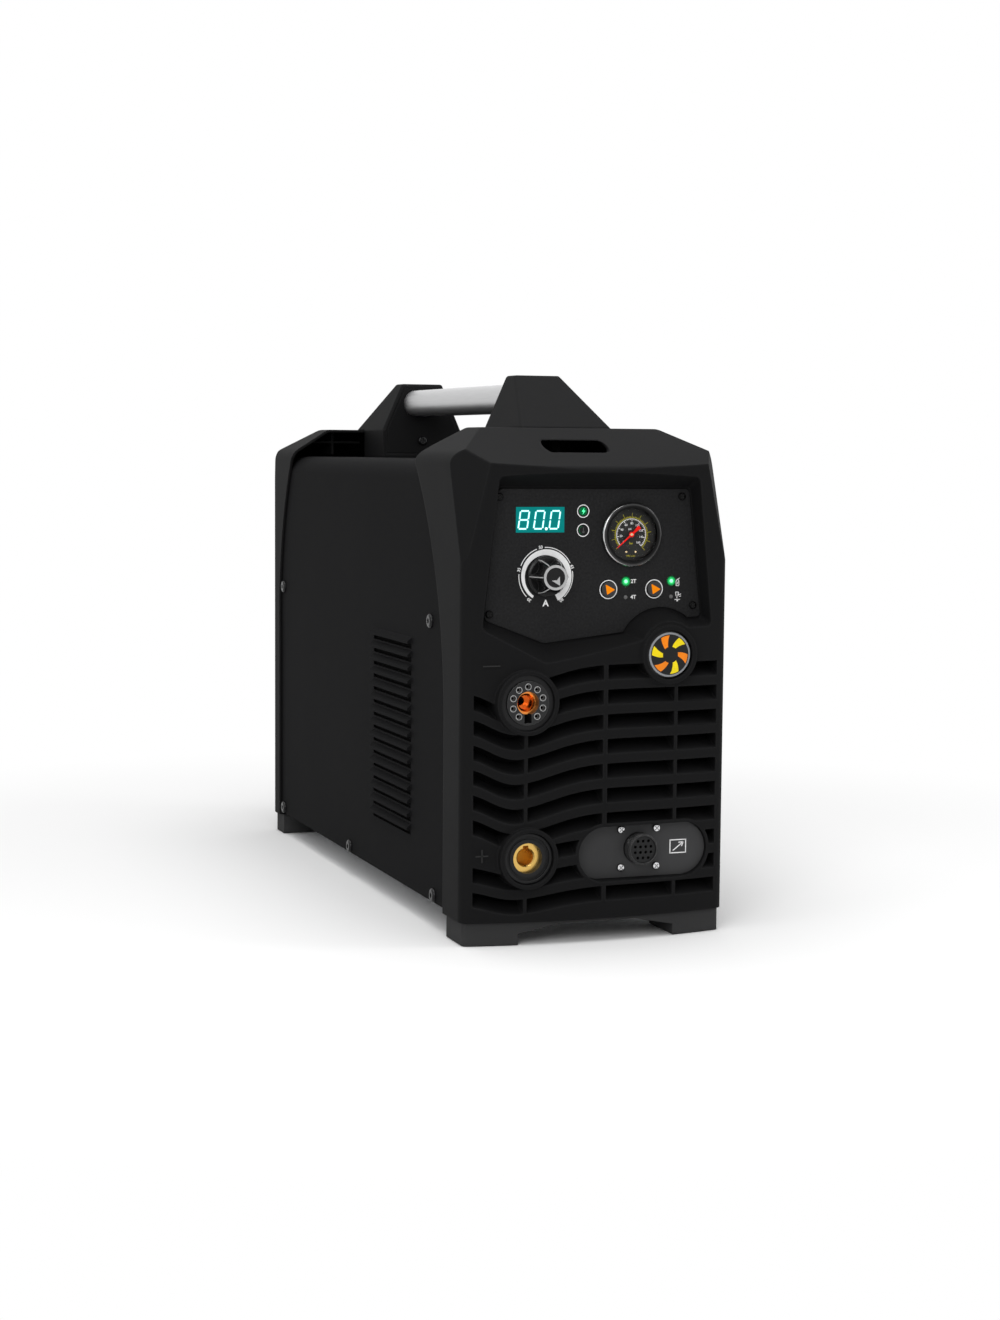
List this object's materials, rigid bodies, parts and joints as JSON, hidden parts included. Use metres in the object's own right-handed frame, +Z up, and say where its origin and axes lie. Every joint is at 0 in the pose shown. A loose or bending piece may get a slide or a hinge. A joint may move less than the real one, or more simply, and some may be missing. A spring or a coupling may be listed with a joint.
{
  "type": "plasma cutter unit",
  "caption": "Portable inverter plasma cutter unit: black steel and plastic case with feet, side louvres, waved front grille, controls, sockets, pressure gauge and carry handle.",
  "frame": {"origin": "on the floor, under the middle of the case", "axes": "+X to the right seen from the front, +Y from the front panel to the back panel, +Z up"},
  "size_m": [0.2222, 0.606, 0.4396],
  "materials": {
    "sheet_steel": "satin light grey",
    "cover_paint": "fine black powder coat",
    "black_screw": "black oxide",
    "bezel_plastic": "fine texture",
    "foot_plastic": "matte",
    "brushed_bar": "brushed",
    "panel_film": "fine grained black",
    "display_glass": "gloss",
    "lamp_lens": "gloss",
    "circuit_board": "satin",
    "plated_steel": "satin",
    "button_plastic": "satin",
    "knob_plastic": "satin",
    "gauge_chrome": "polished",
    "dial_print": "printed",
    "gauge_glass": "clear",
    "needle_red": "satin",
    "badge_gloss": "gloss",
    "socket_plastic": "satin",
    "copper_contact": "satin",
    "brass_contact": "satin",
    "cast_aluminium": "satin",
    "ferrite_core": "matte",
    "hose_rubber": "satin"
  },
  "bodies": {
    "case": {"base_plate": "sheet_steel", "chassis_posts": "sheet_steel", "outer_cover": "cover_paint", "cover_screws": "black_screw", "front_bezel": "bezel_plastic", "rear_bezel": "bezel_plastic", "front_foot_bar": "foot_plastic", "rear_foot_bar": "foot_plastic", "front_tower": "bezel_plastic", "rear_tower": "bezel_plastic", "tower_plates": "bezel_plastic", "tower_screws": "black_screw", "handle_bar": "brushed_bar", "front_panel_sheet": "sheet_steel", "rear_panel_sheet": "cover_paint", "control_panel": "panel_film", "small_screws": "black_screw", "display_window": "display_glass", "indicator_lenses": "lamp_lens", "led_lenses": "lamp_lens", "control_board": "circuit_board", "encoder_body": "plated_steel", "gauge_case": "plated_steel", "gauge_ring": "gauge_chrome", "gauge_dial": "dial_print", "gauge_lens": "gauge_glass", "badge_dome": "badge_gloss", "torch_socket_housing": "socket_plastic", "torch_socket_insert": "socket_plastic", "torch_socket_contact": "copper_contact", "torch_socket_pins": "brass_contact", "earth_socket_body": "socket_plastic", "earth_socket_insert": "brass_contact", "interface_plate": "bezel_plastic", "interface_socket_shell": "plated_steel", "interface_socket_insert": "socket_plastic", "fan_frame": "socket_plastic", "fan_guard": "plated_steel", "mains_switch_body": "socket_plastic", "cable_gland": "socket_plastic", "air_regulator_body": "plated_steel", "air_inlet_fitting": "brass_contact", "heatsink": "cast_aluminium", "inverter_board": "circuit_board", "bus_capacitors": "button_plastic", "transformer_core": "ferrite_core", "transformer_winding": "copper_contact", "output_choke": "copper_contact", "solenoid_valve": "brass_contact", "air_hoses": "hose_rubber"},
    "current_dial": {"current_knob": "knob_plastic", "knob_cap": "knob_plastic", "knob_shaft": "plated_steel"},
    "pressure_needle": {"gauge_needle": "needle_red"},
    "trigger_key": {"trigger_button": "button_plastic"},
    "mode_key": {"mode_button": "button_plastic"},
    "fan": {"fan_rotor": "socket_plastic"},
    "mains_handle": {"mains_switch_knob": "knob_plastic"},
    "pressure_stem": {"regulator_stem": "plated_steel"},
    "pressure_handle": {"regulator_knob": "knob_plastic"}
  },
  "joints": [
    {"name": "current_turn", "type": "hinge", "parent": "case", "child": "current_dial", "pos_m": [-0.0399, -0.29, 0.2828], "axis": [0, -1, 0], "range_deg": [0, 270]},
    {"name": "needle_turn", "type": "hinge", "parent": "case", "child": "pressure_needle", "pos_m": [0.0302, -0.2835, 0.3144], "axis": [0, 1, 0], "range_deg": [0, 270], "stiffness_Nm_per_rad": 0.0002},
    {"name": "trigger_press", "type": "slide", "parent": "case", "child": "trigger_key", "axis": [0, 1, 0], "range_m": [0, 0.001], "stiffness_N_per_m": 800, "springref_m": -0.001},
    {"name": "mode_press", "type": "slide", "parent": "case", "child": "mode_key", "axis": [0, 1, 0], "range_m": [0, 0.001], "stiffness_N_per_m": 800, "springref_m": -0.001},
    {"name": "fan_spin", "type": "hinge", "parent": "case", "child": "fan", "pos_m": [0, 0.244, 0.104], "axis": [0, 1, 0], "continuous": true},
    {"name": "mains_turn", "type": "hinge", "parent": "case", "child": "mains_handle", "pos_m": [-0.055, 0.27, 0.286], "axis": [0, -1, 0], "range_deg": [0, 90]},
    {"name": "pressure_turn", "type": "hinge", "parent": "case", "child": "pressure_stem", "pos_m": [-0.048, 0.27, 0.212], "axis": [0, -1, 0], "range_deg": [0, 1080]},
    {"name": "pressure_unlock", "type": "slide", "parent": "pressure_stem", "child": "pressure_handle", "axis": [0, 1, 0], "range_m": [0, 0.004]}
  ]
}
